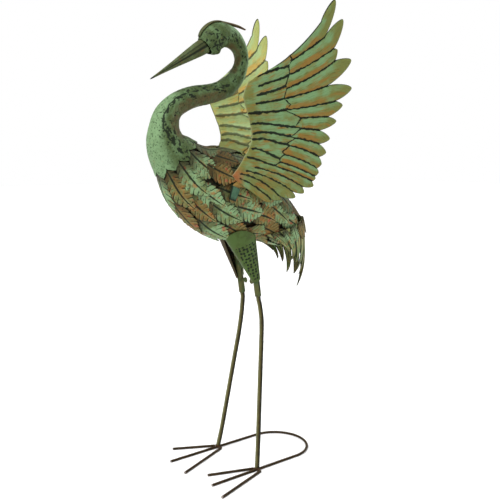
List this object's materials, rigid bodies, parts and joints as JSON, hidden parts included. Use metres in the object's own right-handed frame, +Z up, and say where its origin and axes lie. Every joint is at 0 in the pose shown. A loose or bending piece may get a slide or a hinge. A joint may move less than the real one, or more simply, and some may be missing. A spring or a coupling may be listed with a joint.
{
  "type": "garden crane figure",
  "caption": "Standing crane of painted sheet metal: raised feathered wings, S-curved neck, long beak, rod legs with toes and a ground loop.",
  "frame": {"origin": "on the ground, under the middle of the crane's box", "axes": "+Z up, the bird faces -Y and its left side is +X"},
  "size_m": [0.2431, 0.4082, 0.93],
  "materials": {
    "shell_paint": "dark olive paint, mostly hidden",
    "leaf_paint": "verdigris green with orange and rust patches, dark ribs",
    "neck_paint": "hammered, light verdigris with dark spots",
    "beak_paint": "olive brown, darker towards the tip",
    "crest_paint": "dark green",
    "wing_paint": "verdigris green with orange-brown streaks and dark grooves",
    "sleeve_paint": "light teal green",
    "tail_paint": "olive green with brown tips",
    "thigh_paint": "green with dark punched dimples, brown inside",
    "leg_paint": "olive paint over brown",
    "socket_paint": "olive green paint",
    "foot_paint": "ribbed rod, dull rusty brown with bright cut ends"
  },
  "bodies": {
    "root": {"body_shell": "shell_paint", "leaf_row_1": "leaf_paint", "leaf_row_2": "leaf_paint", "leaf_row_3": "leaf_paint", "leaf_row_4": "leaf_paint", "leaf_row_5": "leaf_paint", "leaf_row_6": "leaf_paint", "leaf_row_7": "leaf_paint", "neck_and_head": "neck_paint", "beak": "beak_paint", "crest": "crest_paint", "left_wing": "wing_paint", "right_wing": "wing_paint", "left_wing_sleeve": "sleeve_paint", "right_wing_sleeve": "sleeve_paint", "tail_feathers": "tail_paint", "left_thigh": "thigh_paint", "right_thigh": "thigh_paint", "left_leg": "leg_paint", "right_leg": "leg_paint", "left_leg_socket": "socket_paint", "right_leg_socket": "socket_paint", "left_thumbscrew": "socket_paint", "right_thumbscrew": "socket_paint", "foot_loop": "foot_paint", "left_inner_toe": "foot_paint", "left_outer_toe": "foot_paint", "right_inner_toe": "foot_paint", "right_outer_toe": "foot_paint"}
  },
  "joints": []
}
